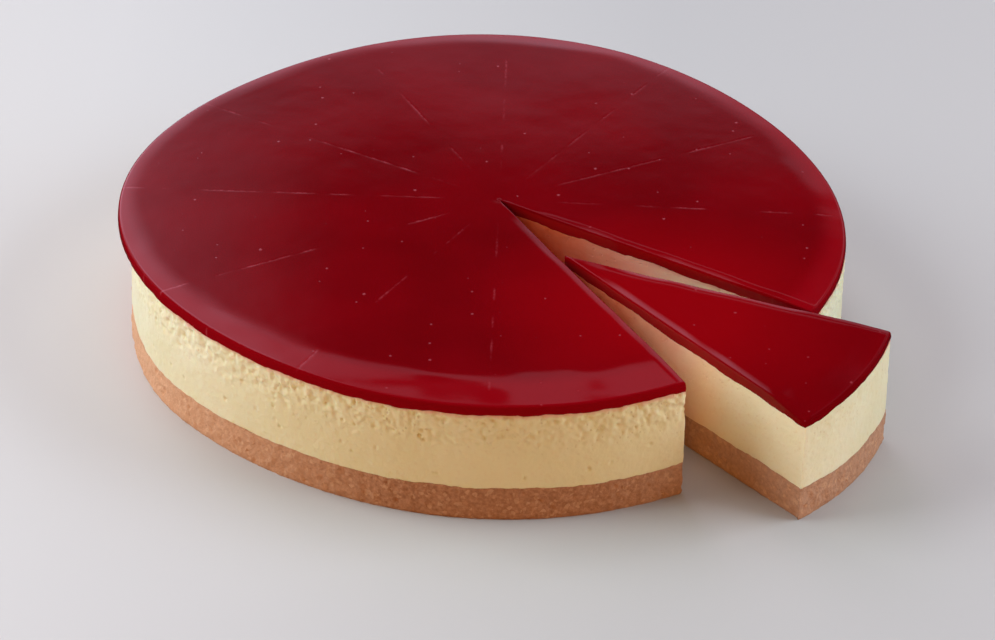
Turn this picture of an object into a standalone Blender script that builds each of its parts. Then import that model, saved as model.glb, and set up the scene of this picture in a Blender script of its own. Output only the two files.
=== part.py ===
"""Raspberry cheesecake: a baked filling on a biscuit base under a layer of red jelly.

The cake is round, 240 mm across, and marked into twelve portions by shallow lines in its jelly.
One portion is cut out and drawn a third of the way from its gap. Each layer runs right through
the cake and through the portion, so the two pieces give six solids.

Units are metres, +Z is up, and the origin is the middle of the whole cake's flat bottom.
The front of the cake faces -Y, and the drawn-out portion lies to the front right.
"""

import math

import bmesh
import bpy
from mathutils import Vector, noise

# The whole cake
CAKE_RADIUS = 0.1203
FOOT_SPREAD = 0.0007
BISCUIT_TOP = 0.0117
FILLING_TOP = 0.0387
JELLY_SHOULDER = 0.0422
JELLY_MIDDLE = 0.0429
TOUCHING_GAP = 0.0003

# The cake left its tin slightly out of round: waves per turn, height in metres, phase in degrees
OUTLINE_WAVES = ((2, 0.0011, -111.0), (3, 0.0019, -131.0), (4, 0.0013, -6.0))

# Directions of the cuts and of the marked portions, in degrees from +X about the cuts' meeting point
CAKE_APEX = (0.0043, 0.0048)
FAR_CUT = -30.4
NEAR_CUT = -59.1
SCORE_LINES = (0.0, 30.9, 60.5, 91.2, 118.3, 151.7, 181.5, 212.6, 242.0, 271.1)

# On the left the filling and biscuit stand in under the jelly: depth, and directions in degrees
UNDERCUT_DEPTH = 0.0046
UNDERCUT_MIDDLE = 185.0
UNDERCUT_SPREAD = 34.0

# The drawn-out portion: its tip, its round side's middle and radius, and its two cut sides
SLICE_TIP = (0.0274, -0.0296)
SLICE_CENTRE = (0.0363, -0.0403)
SLICE_RADIUS = 0.100
SLICE_FAR_CUT = -18.8
SLICE_NEAR_CUT = -46.9

# Its top leans down from the far cut to the near one, and its jelly thins towards the rim,
# most of all at the near cut: the edge's heights there and at the far cut.
# The lean grows from nothing at one height of the filling to its full slope at the other.
SLICE_LEAN = 0.08
LEAN_SPAN = (0.0150, 0.0375)
SLICE_SHOULDER = (0.0408, 0.0424)

# Jelly: a level middle, a gentle fall towards the rim and a rounded edge. Its lines between the
# meeting point and the edge: one halfway out, then at shares of the fall's width in from the edge
FALL_WIDTH = 0.018
HALFWAY = 0.5
FALL_SHARES = (1.0, 0.6, 0.3)
EDGE_ROUND = 0.0009
EDGE_STEPS = 3
SCORE_DEPTH = 0.0006
SCORE_WIDTH = 0.0016
SCORE_CROSSING = 0.003

# Relief of the sides
SEAM_WAVE = 0.0006
SEAM_LENGTH = 0.009
SEAM_BAND = 0.008
PIT_DEPTH = 0.0028
PIT_SIZE = 0.0055
PITTED_SHARE = 0.6
CRUMB_DEPTH = 0.0008
CRUMB_SIZE = 0.0036

# Layers of the noise, so far apart that each seam and relief has a pattern of its own
JELLY_SEAM_NOISE = 10.0
BISCUIT_SEAM_NOISE = 20.0
PIT_NOISE = 30.0
CRUMB_NOISE = 40.0
CAKE_NOISE = 0.0
SLICE_NOISE = 100.0

# Fineness of the facets
RIM_SPACING = 0.005
FILLING_RINGS = 8
BISCUIT_RINGS = 4
SMOOTH_ANGLE = math.radians(40.0)
REACH_PRECISION = 1e-7

# Looks: colour, roughness and clear coat
JELLY_LOOK = ((0.22, 0.006, 0.010), 0.12, 0.6)
FILLING_LOOK = ((0.80, 0.68, 0.45), 0.6, 0.0)
BISCUIT_LOOK = ((0.50, 0.24, 0.12), 0.9, 0.0)


def clear_scene():
    for thing in list(bpy.data.objects):
        bpy.data.objects.remove(thing)


def food_material(name, color, roughness, coat):
    material = bpy.data.materials.new(name)
    material.use_nodes = True
    shader = material.node_tree.nodes["Principled BSDF"]
    shader.inputs["Base Color"].default_value = (*color, 1.0)
    shader.inputs["Roughness"].default_value = roughness
    shader.inputs["Metallic"].default_value = 0.0
    shader.inputs["Coat Weight"].default_value = coat
    return material


def cake_outline(angle):
    """Radius of the whole cake in the direction of an angle about its middle."""
    radius = CAKE_RADIUS
    for order, height, phase in OUTLINE_WAVES:
        radius += height * math.cos(order * angle - math.radians(phase))
    return radius


def slice_outline(angle):
    return SLICE_RADIUS


class Column:
    """One upright plane of points that runs from the cuts' meeting point out to the rim."""

    def __init__(self, piece, azimuth, scored):
        self.piece = piece
        self.azimuth = math.radians(azimuth)
        self.scored = scored
        self.reach = self.find_reach()
        self.along = self.azimuth * CAKE_RADIUS

    def find_reach(self):
        """Distance from the meeting point to the rim, by halving the interval that holds it."""
        low, high = 0.0, 2.0 * CAKE_RADIUS
        while high - low > REACH_PRECISION:
            middle = (low + high) / 2
            x = self.piece["apex"][0] + middle * math.cos(self.azimuth) - self.piece["centre"][0]
            y = self.piece["apex"][1] + middle * math.sin(self.azimuth) - self.piece["centre"][1]
            if math.hypot(x, y) < self.piece["outline"](math.atan2(y, x)):
                low = middle
            else:
                high = middle
        return low

    def shoulder(self):
        """Height of the jelly's edge at the rim, which may change from the first cut to the last."""
        first, last = self.piece["shoulder"]
        turn = math.degrees(self.azimuth) - self.piece["start"]
        return first + (last - first) * turn / (self.piece["end"] - self.piece["start"])

    def point(self, distance, height):
        x = self.piece["apex"][0] + distance * math.cos(self.azimuth)
        y = self.piece["apex"][1] + distance * math.sin(self.azimuth)
        return Vector((x, y, height - self.sinking(distance, height)))

    def sinking(self, distance, height):
        """How far a point has sunk with a top that leans down away from the piece's last cut."""
        from_cut = distance * math.sin(math.radians(self.piece["end"]) - self.azimuth)
        share = (height - LEAN_SPAN[0]) / (LEAN_SPAN[1] - LEAN_SPAN[0])
        return self.piece["lean"] * from_cut * min(1.0, max(0.0, share))

    def ripple(self, size, height, layer):
        """Smooth noise from -1 to 1 on the side, with features of about the given size."""
        return noise.noise(Vector((self.along / size, height / size, layer + self.piece["seed"])))


def column_azimuths(start, end, scores):
    """Azimuths of the columns, with three close together on each score line."""
    half_width = math.degrees(SCORE_WIDTH / 2 / CAKE_RADIUS)
    bounds = [start, *scores, end]
    columns = [(start, False)]
    for first, last in zip(bounds, bounds[1:]):
        low = first + half_width if first in scores else first
        high = last - half_width if last in scores else last
        steps = round(math.radians(high - low) * CAKE_RADIUS / RIM_SPACING)
        if first in scores:
            columns.append((low, False))
        columns += [(low + (high - low) * step / steps, False) for step in range(1, steps + 1)]
        if last in scores:
            columns.append((last, True))
    return columns


def seam_height(column, level, layer):
    """Height of the line where two layers meet at the round side, which wanders a little."""
    return level + SEAM_WAVE * column.ripple(SEAM_LENGTH, level, layer)


def side_reach(column, height):
    """Distance out to the plain side, which spreads a little towards its foot."""
    return column.reach + FOOT_SPREAD * (1 - height / JELLY_SHOULDER)


def body_reach(column, height):
    """Distance out to the side of the filling and biscuit, which is undercut on the left."""
    away = (math.degrees(column.azimuth) - UNDERCUT_MIDDLE) / UNDERCUT_SPREAD
    depth = column.piece["undercut"] * math.cos(math.pi / 2 * min(1.0, abs(away))) ** 2
    return side_reach(column, height) - depth


def filling_pit(column, share, height):
    """Depth of the pits and short crags, which fade out in the filling's lower half."""
    roughness = min(1.0, share / PITTED_SHARE)
    hollow = max(0.0, column.ripple(PIT_SIZE, height, PIT_NOISE))
    return PIT_DEPTH * hollow * roughness ** 2


def seam_profile(column, level, layer, reach):
    """Three points of a seam between layers: the level inside, its outer border and the side."""
    edge = seam_height(column, level, layer)
    return [(0.0, level), (column.reach - SEAM_BAND, level), (reach(column, level), edge)]


def jelly_height(column, inset):
    """Height of the jelly's top at a distance in from the start of its rounded edge."""
    share = max(0.0, 1 - inset / FALL_WIDTH)
    return JELLY_MIDDLE - (JELLY_MIDDLE - column.shoulder()) * share ** 2


def jelly_profile(column):
    groove = SCORE_DEPTH if column.scored else 0.0
    meeting_groove = SCORE_DEPTH if column.piece["scores"] else 0.0
    reach = side_reach(column, FILLING_TOP)
    points = [(0.0, JELLY_MIDDLE - meeting_groove), (SCORE_CROSSING, JELLY_MIDDLE - groove)]
    for inset in (HALFWAY * column.reach, *(share * FALL_WIDTH for share in FALL_SHARES)):
        points.append((reach - EDGE_ROUND - inset, jelly_height(column, inset) - groove))
    for step in range(EDGE_STEPS + 1):
        turn = math.pi / 2 * step / EDGE_STEPS
        out = reach - EDGE_ROUND * (1 - math.sin(turn)) - groove * math.sin(turn)
        drop = EDGE_ROUND * (1 - math.cos(turn)) + groove * math.cos(turn)
        points.append((out, column.shoulder() - drop))
    seam = seam_profile(column, FILLING_TOP + TOUCHING_GAP, JELLY_SEAM_NOISE, side_reach)
    return points + seam[::-1]


def filling_profile(column):
    top = seam_profile(column, FILLING_TOP, JELLY_SEAM_NOISE, body_reach)
    bottom = seam_profile(column, BISCUIT_TOP + TOUCHING_GAP, BISCUIT_SEAM_NOISE, body_reach)
    side = []
    for ring in range(1, FILLING_RINGS):
        share = 1 - ring / FILLING_RINGS
        height = bottom[2][1] + (top[2][1] - bottom[2][1]) * share
        side.append((body_reach(column, height) - filling_pit(column, share, height), height))
    return top + side + bottom[::-1]


def biscuit_profile(column):
    top = seam_profile(column, BISCUIT_TOP, BISCUIT_SEAM_NOISE, body_reach)
    side = []
    for ring in range(1, BISCUIT_RINGS):
        height = top[2][1] * (1 - ring / BISCUIT_RINGS)
        crumb = CRUMB_DEPTH * column.ripple(CRUMB_SIZE, height, CRUMB_NOISE)
        side.append((body_reach(column, height) + crumb, height))
    return top + side + [(body_reach(column, 0.0), 0.0), (0.0, 0.0)]


def layer_object(name, columns, profile, material):
    """Closed solid of one layer: its profile swept about the meeting point, with two cut walls."""
    mesh = bmesh.new()
    profiles = [profile(column) for column in columns]
    top_point = mesh.verts.new(columns[0].point(*profiles[0][0]))
    bottom_point = mesh.verts.new(columns[0].point(*profiles[0][-1]))
    lines = []
    for column, points in zip(columns, profiles):
        inner = [mesh.verts.new(column.point(*point)) for point in points[1:-1]]
        lines.append([top_point, *inner, bottom_point])
    for line, following in zip(lines, lines[1:]):
        mesh.faces.new((top_point, line[1], following[1]))
        mesh.faces.new((line[-2], bottom_point, following[-2]))
        for row in range(1, len(line) - 2):
            mesh.faces.new((line[row], line[row + 1], following[row + 1], following[row]))
    mesh.faces.new(lines[0][::-1])
    mesh.faces.new(lines[-1])
    bmesh.ops.recalc_face_normals(mesh, faces=mesh.faces[:])
    data = bpy.data.meshes.new(name)
    mesh.to_mesh(data)
    mesh.free()
    data.shade_smooth()
    data.set_sharp_from_angle(angle=SMOOTH_ANGLE)
    data.materials.append(material)
    thing = bpy.data.objects.new(name, data)
    bpy.context.scene.collection.objects.link(thing)
    return thing


def build_piece(piece):
    """The three layers of one piece of cake."""
    azimuths = column_azimuths(piece["start"], piece["end"], piece["scores"])
    columns = [Column(piece, azimuth, scored) for azimuth, scored in azimuths]
    name = piece["name"]
    biscuit = food_material(name + "_biscuit", *BISCUIT_LOOK)
    filling = food_material(name + "_filling", *FILLING_LOOK)
    jelly = food_material(name + "_jelly", *JELLY_LOOK)
    layer_object(name + "_biscuit", columns, biscuit_profile, biscuit)
    layer_object(name + "_filling", columns, filling_profile, filling)
    layer_object(name + "_jelly", columns, jelly_profile, jelly)


def main():
    clear_scene()
    build_piece({
        "name": "cake",
        "apex": CAKE_APEX,
        "centre": (0.0, 0.0),
        "outline": cake_outline,
        "start": FAR_CUT,
        "end": NEAR_CUT + 360.0,
        "scores": SCORE_LINES,
        "undercut": UNDERCUT_DEPTH,
        "shoulder": (JELLY_SHOULDER, JELLY_SHOULDER),
        "lean": 0.0,
        "seed": CAKE_NOISE,
    })
    build_piece({
        "name": "slice",
        "apex": SLICE_TIP,
        "centre": SLICE_CENTRE,
        "outline": slice_outline,
        "start": SLICE_NEAR_CUT,
        "end": SLICE_FAR_CUT,
        "scores": (),
        "undercut": 0.0,
        "shoulder": SLICE_SHOULDER,
        "lean": SLICE_LEAN,
        "seed": SLICE_NOISE,
    })


main()
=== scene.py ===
"""Raspberry cheesecake: the visible surfaces, materials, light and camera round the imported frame.

Metres, +Z up, in the frame's own coordinates. The front of the cake faces -Y.
"""

import itertools
import math

import bpy
import numpy as np
from mathutils import Matrix, Vector

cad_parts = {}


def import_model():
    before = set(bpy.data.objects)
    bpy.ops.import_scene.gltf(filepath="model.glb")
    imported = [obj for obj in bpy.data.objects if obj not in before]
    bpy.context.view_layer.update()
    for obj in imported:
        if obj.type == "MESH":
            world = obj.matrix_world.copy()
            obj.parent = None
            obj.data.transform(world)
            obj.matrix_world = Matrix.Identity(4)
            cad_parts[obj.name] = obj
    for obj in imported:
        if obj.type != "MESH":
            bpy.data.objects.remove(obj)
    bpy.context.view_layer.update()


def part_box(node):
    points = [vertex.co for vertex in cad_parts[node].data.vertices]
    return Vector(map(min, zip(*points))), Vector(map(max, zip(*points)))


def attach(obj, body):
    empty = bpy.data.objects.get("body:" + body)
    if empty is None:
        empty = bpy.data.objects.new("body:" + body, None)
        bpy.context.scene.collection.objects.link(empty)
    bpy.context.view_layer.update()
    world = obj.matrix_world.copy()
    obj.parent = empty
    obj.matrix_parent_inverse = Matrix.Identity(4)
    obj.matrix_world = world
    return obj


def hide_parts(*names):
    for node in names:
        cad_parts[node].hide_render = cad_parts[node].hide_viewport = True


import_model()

MM = 0.001

# Heights: the floor and the jelly's top from the frame, and the layers' mean levels
FLOOR_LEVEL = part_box("cake_biscuit")[0].z
JELLY_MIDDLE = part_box("cake_jelly")[1].z
BISCUIT_TOP = 11.7 * MM
FILLING_TOP = 38.7 * MM
JELLY_SHOULDER = JELLY_MIDDLE - 0.7 * MM

# The whole cake's outline, as in the solids: waves per turn, height, phase in degrees
CAKE_RADIUS = 120.3 * MM
FOOT_SPREAD = 0.7 * MM
OUTLINE_WAVES = ((2, 1.1 * MM, -111.0), (3, 1.9 * MM, -131.0), (4, 1.3 * MM, -6.0))
OUTLINE_HALVINGS = 30

# Cuts and score lines, in degrees about the point where the cuts meet
CAKE_APEX = (4.3 * MM, 4.8 * MM)
FAR_CUT = -30.4
NEAR_CUT = -59.1
SCORE_LINES = (0.0, 30.9, 60.5, 91.2, 118.3, 151.7, 181.5, 212.6, 242.0, 271.1)
SCORE_STRENGTHS = (0.4, 0.35, 0.3, 0.4, 0.4, 0.6, 0.55, 0.7, 0.5, 0.35)

# On the left the filling and biscuit stand in under the jelly
UNDERCUT_DEPTH = 4.6 * MM
UNDERCUT_MIDDLE = math.radians(185.0)
UNDERCUT_SPREAD = math.radians(34.0)

# The drawn-out portion, whose top leans down from its far cut to its near one, and the heights
# of its jelly's edge at the near cut and at the far one
SLICE_TIP = (27.4 * MM, -29.6 * MM)
SLICE_CENTRE = (36.3 * MM, -40.3 * MM)
SLICE_RADIUS = 100.0 * MM
SLICE_FAR_CUT = -18.8
SLICE_NEAR_CUT = -46.9
SLICE_LEAN = 0.08
LEAN_SPAN = (15.0 * MM, 37.5 * MM)
SLICE_SHOULDER = (JELLY_MIDDLE - 2.1 * MM, JELLY_MIDDLE - 0.5 * MM)
SLICE_ROUGHNESS = 0.25

# Distance from the cuts' meeting point to a point from which every side of a piece shows
CAKE_INSIDE = 12.0 * MM
SLICE_INSIDE = 70.0 * MM

# Jelly: the rim's slope starts at a wavering border, and cut edges are drawn down by the knife.
# The slope is widest at the front: shares of its width that follow the direction round the rim
SLOPE_WIDTH = 11.5 * MM
SLOPE_TO_FRONT = 0.43
SLOPE_TO_ENDS = 0.22
SLOPE_TO_RIGHT = 0.17
WIDEST_SLOPE = 20.0 * MM
SLOPE_RUN = 14.5 * MM
SLOPE_WAVER = 1.6 * MM
SLOPE_WAVER_LENGTH = 20.0 * MM
SLOPE_ONSET = 5.0 * MM
EDGE_ROUND = 0.9 * MM
CUT_LIP_WIDTH = 3.0 * MM
CUT_LIP_DROP = 0.45 * MM
CUT_LIP_START = (5.0 * MM, 34.0 * MM)
CUT_LIP_UNEVEN = 0.35
CUT_LIP_LENGTH = 9.0 * MM
CUT_LIP_CURVE = 1.6
CUT_ROUND = 0.45 * MM
APEX_LEVEL = JELLY_MIDDLE - 0.17 * MM
JELLY_LEVEL = JELLY_MIDDLE - 0.12 * MM
JELLY_SWELL = 0.04 * MM
JELLY_SWELL_LENGTH = 30.0 * MM
JELLY_FILM = 0.005 * MM
JELLY_FILM_LENGTH = 7.0 * MM
JELLY_BULGE = 0.15 * MM
JELLY_BULGE_SPAN = 1.1
JELLY_OVERLAP = 0.08 * MM
JELLY_SIDE_RINGS = 5
THIN_RIM = 0.75
THIN_RIM_BLEND = 9.0 * MM

# Knife marks between portions: they fade out towards the middle, break up along their length and
# have a low ridge on each side
SCORE_HALF_WIDTH = 0.6 * MM
SCORE_FADE = (8.0 * MM, 40.0 * MM)
SCORE_DEPTH = 0.03 * MM
SCORE_MEAN = 0.20
SCORE_BREAKS = 1.2
SCORE_BREAK_LENGTH = 6.0 * MM
SCORE_LEAST = 0.02
SCORE_APART = 0.05
SCORE_RIDGE = 0.12
SCORE_RIDGE_PLACE = 1.1 * MM
SCORE_RIDGE_WIDTH = 0.45 * MM

# Distances in from a panel's sides, and in from the rim, where the jelly's surface has its lines.
# A panel narrower than a number of times the last offset has its lines closer together
SIDE_OFFSETS = tuple(
    value * MM for value in (0.0, 0.12, 0.28, 0.45, 0.65, 0.95, 1.4, 2.0, 2.7, 3.5, 4.6)
)
PLAIN_PANEL = 3.0
FIRST_ROW = 1.5 * MM
PANEL_SPACING = 1.5 * MM
ROW_SPACING = 2.0 * MM
SLOPE_ROW_SPACING = 1.0 * MM
EDGE_ROWS = tuple(value * MM for value in (2.6, 2.0, 1.5, 1.1, 0.85, 0.62, 0.42, 0.25, 0.12, 0.03))

# Seams, which wander in long waves and in finer ones
SEAM_WAVE = 0.6 * MM
SEAM_LENGTH = 9.0 * MM
SEAM_FINE_WAVE = 0.45
SEAM_FINE_LENGTH = SEAM_LENGTH / 4
SEAM_SEEDS = {"jelly": 300, "biscuit": 400}
LAYER_LAP = 0.1 * MM

# Sides of the filling and biscuit, and how far out from the tip juice has soaked into the cut walls
# and painted shade darkens them
CAP_INSET = 4.0 * MM
CAP_INSET_LIMIT = 0.5
SIDE_SPACING = 0.46 * MM
WALL_SPACING = 0.9 * MM
STAIN_AND_SHADE_REACH = (12.0 * MM, 92.0 * MM)

# Relief of the filling's side: crags and grit high up, grain and gentle swells all over, and calm
# near the jelly. The roughness starts at a share of the height and is full after another share
ROUGH_FROM = 0.40
ROUGH_BLEND = 0.45
CRAG_DEPTH = 0.85 * MM
CRAG_LENGTH = 2.4 * MM
CRAG_LEVEL = 0.10
GRIT_DEPTH = 0.32 * MM
GRIT_LENGTH = 1.1 * MM
GRAIN_DEPTH = 0.08 * MM
GRAIN_LENGTH = 1.8 * MM
SWELL_DEPTH = 0.15 * MM
SWELL_LENGTH = 14.0 * MM
SWELL_STRETCH = (1, 1, 0.6)
CALM_START = FILLING_TOP + 0.3 * MM
CALM_BLEND = 1.2 * MM
CALM_SHARE = 0.25

# Pits in the filling and the biscuit: one to each length of the side, radius, depth, heights, and
# the most that they are taller than wide, with the least and the curve of their hollow for all
LEAST_TALL = 0.6
PIT_CURVE = 1.5
FILLING_PITS = (
    (2.2 * MM, (0.6 * MM, 1.0 * MM), (0.3 * MM, 0.8 * MM),
     (FILLING_TOP - 11 * MM, FILLING_TOP - 0.8 * MM), 1.4),
    (6.0 * MM, (0.5 * MM, 0.9 * MM), (0.3 * MM, 0.8 * MM),
     (BISCUIT_TOP + 3 * MM, FILLING_TOP - 8 * MM), 1.3),
    (9.0 * MM, (0.6 * MM, 0.9 * MM), (0.4 * MM, 0.8 * MM),
     (FILLING_TOP - 4 * MM, FILLING_TOP - 1.0 * MM), 3.0),
)
BISCUIT_PITS = (3.0 * MM, (0.5 * MM, 1.3 * MM), (0.2 * MM, 0.7 * MM), (1.0 * MM, BISCUIT_TOP), 1.2)

# Relief of the biscuit: crumbs, fine grain, and a foot that is drawn in where it stands
CRUMB_DEPTH = 0.30 * MM
CRUMB_LENGTH = 2.4 * MM
CRUMB_GRAIN_DEPTH = 0.25 * MM
CRUMB_GRAIN_LENGTH = 1.3 * MM
CRUMB_GRAIN_LEVEL = 0.4
FOOT_HEIGHT = 1.0 * MM
FOOT_CALM = 0.6
FOOT_INSET = 0.35 * MM

# Large whole numbers that mix a lattice cell and a seed into a value
CELL_FACTORS = (374761393, 668265263, 2147483629)
SEED_FACTOR = 974711
MIX_FACTOR = 1274126177

# Seeds of the patterns and of the drawn pits, and the angle from which an edge stays sharp
CAKE_SEED = 1000
SLICE_SEED = 2000
PIT_SEED = 7
SHARP_ANGLE = math.radians(50.0)


class Random:
    """Seeded draws, in the order that the pieces are made."""

    def __init__(self, seed):
        self.source = np.random.default_rng(seed)

    def spread(self, low, high, count):
        return self.source.uniform(low, high, count)


def lattice_values(cells, seed):
    """Values from -1 to 1, one for each cell of a lattice, mixed from the cell's whole numbers."""
    mixed = sum(cells[..., axis] * factor for axis, factor in enumerate(CELL_FACTORS))
    mixed = (mixed + seed * SEED_FACTOR) & 0xFFFFFFFF
    mixed = ((mixed ^ (mixed >> 13)) * MIX_FACTOR) & 0xFFFFFFFF
    return ((mixed ^ (mixed >> 16)) & 0xFFFF) / 32767.5 - 1


def ripple(points, size, seed):
    """Smooth noise between -1 and 1 at an array of points, with features of about the given size."""
    scaled = points / size
    base = np.floor(scaled).astype(np.int64)
    part = scaled - base
    part = part * part * (3 - 2 * part)
    total = np.zeros(points.shape[:-1])
    for corner in itertools.product((0, 1), repeat=3):
        side = np.array(corner)
        weight = np.prod(np.where(side, part, 1 - part), axis=-1)
        total += weight * lattice_values(base + side, seed)
    return total


def layered_ripple(points, size, seed, layers):
    """Noise with finer and weaker layers on top of the first."""
    total = np.zeros(points.shape[:-1])
    for layer in range(layers):
        total += ripple(points, size / 2 ** layer, seed + layer) / 2 ** layer
    return total


def smooth_step(value):
    part = np.clip(value, 0, 1)
    return part * part * (3 - 2 * part)


def cake_outline(angle):
    radius = np.full_like(angle, CAKE_RADIUS)
    for order, height, phase in OUTLINE_WAVES:
        radius += height * np.cos(order * angle - math.radians(phase))
    return radius


def slice_outline(angle):
    return np.full_like(angle, SLICE_RADIUS)


class Piece:
    """One piece of cake: a sector between two cuts, with score lines between them."""

    def __init__(self, name, apex, centre, outline, start, end, scores, undercut, shoulder, lean,
                 seed):
        self.name = name
        self.apex = np.array(apex)
        self.centre = np.array(centre)
        self.outline = outline
        self.start = math.radians(start)
        self.end = math.radians(end)
        self.scores = [math.radians(score) for score in scores]
        self.bounds = [self.start, *self.scores, self.end]
        self.undercut = undercut
        self.shoulder = shoulder
        self.lean = lean
        self.roughness = 1.0 if scores else SLICE_ROUGHNESS
        self.seed = seed

    def reach(self, azimuth):
        """Distance from the apex to the rim, by halving the interval that holds it."""
        low = np.zeros_like(azimuth)
        high = np.full_like(azimuth, 2 * CAKE_RADIUS)
        for _ in range(OUTLINE_HALVINGS):
            middle = (low + high) / 2
            x = self.apex[0] + middle * np.cos(azimuth) - self.centre[0]
            y = self.apex[1] + middle * np.sin(azimuth) - self.centre[1]
            within = np.hypot(x, y) < self.outline(np.arctan2(y, x))
            low = np.where(within, middle, low)
            high = np.where(within, high, middle)
        return low

    def body_reach(self, azimuth):
        """Distance from the apex to the filling and biscuit, which are undercut on the left."""
        away = np.minimum(1.0, np.abs(azimuth - UNDERCUT_MIDDLE) / UNDERCUT_SPREAD)
        return self.reach(azimuth) - self.undercut * np.cos(math.pi / 2 * away) ** 2

    def place(self, azimuth, distance, height):
        x = self.apex[0] + distance * np.cos(azimuth)
        y = self.apex[1] + distance * np.sin(azimuth)
        return np.stack(np.broadcast_arrays(x, y, height), axis=-1)

    def inner_point(self):
        """A point inside, from which every side shows."""
        direction = (self.start + self.end) / 2
        distance = CAKE_INSIDE if self.end - self.start > math.pi else SLICE_INSIDE
        return self.apex + distance * np.array((math.cos(direction), math.sin(direction)))

    def settled(self, points):
        """Points lowered by the lean of the top, which falls away from the piece's end cut."""
        x = points[..., 0] - self.apex[0]
        y = points[..., 1] - self.apex[1]
        from_cut = math.sin(self.end) * x - math.cos(self.end) * y
        share = np.clip((points[..., 2] - LEAN_SPAN[0]) / (LEAN_SPAN[1] - LEAN_SPAN[0]), 0, 1)
        lowered = points.copy()
        lowered[..., 2] -= self.lean * from_cut * share
        return lowered

    def cut_distance(self, azimuth, distance):
        """Distance in from the nearest cut."""
        from_start = np.clip(azimuth - self.start, 0, math.pi / 2)
        from_end = np.clip(self.end - azimuth, 0, math.pi / 2)
        return distance * np.sin(np.minimum(from_start, from_end))


def seam_height(points, level, seed):
    """Height of a seam between two layers, which wanders a little from its level."""
    flat = np.array(points, dtype=float)
    flat[..., 2] = level
    fine = SEAM_FINE_WAVE * ripple(flat, SEAM_FINE_LENGTH, seed + 1)
    return level + SEAM_WAVE * (ripple(flat, SEAM_LENGTH, seed) + fine)


def build_object(name, points, faces, material):
    """A mesh object that rides on the one body and takes its finish from a slot."""
    mesh = bpy.data.meshes.new(name)
    mesh.from_pydata(points.tolist(), [], faces)
    mesh.validate()
    mesh.shade_smooth()
    mesh.set_sharp_from_angle(angle=SHARP_ANGLE)
    mesh.materials.append(material)
    thing = bpy.data.objects.new(name, mesh)
    bpy.context.scene.collection.objects.link(thing)
    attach(thing, "root")
    return thing


def skirt_faces(first, count, rings):
    """Quads of a closed wall of rings below one another, each ring's points counter-clockwise."""
    faces = []
    for ring in range(rings):
        top = first + ring * count
        low = top + count
        for place in range(count):
            following = (place + 1) % count
            faces.append((top + place, low + place, low + following, top + following))
    return faces


def cap(points, faces, ring, level, centre, upward):
    """Closes a ring of points with a border strip and a fan about an inner point."""
    ring_points = np.array([points[index] for index in ring])
    towards = centre - ring_points[:, :2]
    length = np.linalg.norm(towards, axis=1, keepdims=True)
    inner = ring_points.copy()
    inner[:, :2] += towards / length * np.minimum(CAP_INSET, CAP_INSET_LIMIT * length)
    inner[:, 2] = level
    start = len(points)
    points.extend(inner.tolist())
    points.append((centre[0], centre[1], level))
    middle = len(points) - 1
    count = len(ring)
    for place in range(count):
        following = (place + 1) % count
        quad = (ring[place], ring[following], start + following, start + place)
        fan = (start + place, start + following, middle)
        faces.append(quad if upward else quad[::-1])
        faces.append(fan if upward else fan[::-1])


# Jelly


def panel_azimuths(piece, radius):
    """Azimuths of all the surface's lines at a row of distances from the apex (rows x columns)."""
    columns = []
    for number, (low, high) in enumerate(zip(piece.bounds, piece.bounds[1:])):
        width = radius * (high - low)
        squeeze = np.minimum(1.0, width / (PLAIN_PANEL * SIDE_OFFSETS[-1]))
        near_side = [squeeze * offset for offset in SIDE_OFFSETS]
        steps = round((CAKE_RADIUS * (high - low) - 2 * SIDE_OFFSETS[-1]) / PANEL_SPACING)
        shares = [index / steps for index in range(1, steps)]
        inner = near_side[-1]
        middle = [inner + (width - 2 * inner) * share for share in shares]
        far_side = [width - offset for offset in reversed(near_side)]
        places = near_side + middle + far_side
        if number:
            places = places[1:]
        columns += [low + place / radius for place in places]
    return np.stack(columns, axis=-1)


def surface_lines(piece):
    """Azimuth, distance from the apex and reach of the surface's points (rows x columns).

    Rows lie at shares of the way out as far as the sloping border, then at steps in from the rim.
    """
    border = WIDEST_SLOPE + 2 * SLOPE_WAVER
    shares = np.arange(FIRST_ROW, CAKE_RADIUS - border, ROW_SPACING) / (CAKE_RADIUS - border)
    slope = np.arange(border, EDGE_ROWS[0], -SLOPE_ROW_SPACING)
    insets = np.concatenate([slope, EDGE_ROWS, [0.0]])
    typical = np.concatenate([shares * (CAKE_RADIUS - border), CAKE_RADIUS - insets])
    azimuth = panel_azimuths(piece, typical)
    reach = piece.reach(azimuth)
    inner = shares[:, None] * (reach[: len(shares)] - border)
    outer = reach[len(shares) :] - insets[:, None]
    return azimuth, np.concatenate([inner, outer]), reach


def slope_width(azimuth):
    """Width of the slope at the rim, in the direction of an azimuth."""
    to_front = -SLOPE_TO_FRONT * np.sin(azimuth) - SLOPE_TO_ENDS * np.cos(2 * azimuth)
    return SLOPE_WIDTH * (1 + to_front + SLOPE_TO_RIGHT * np.cos(azimuth))


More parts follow.
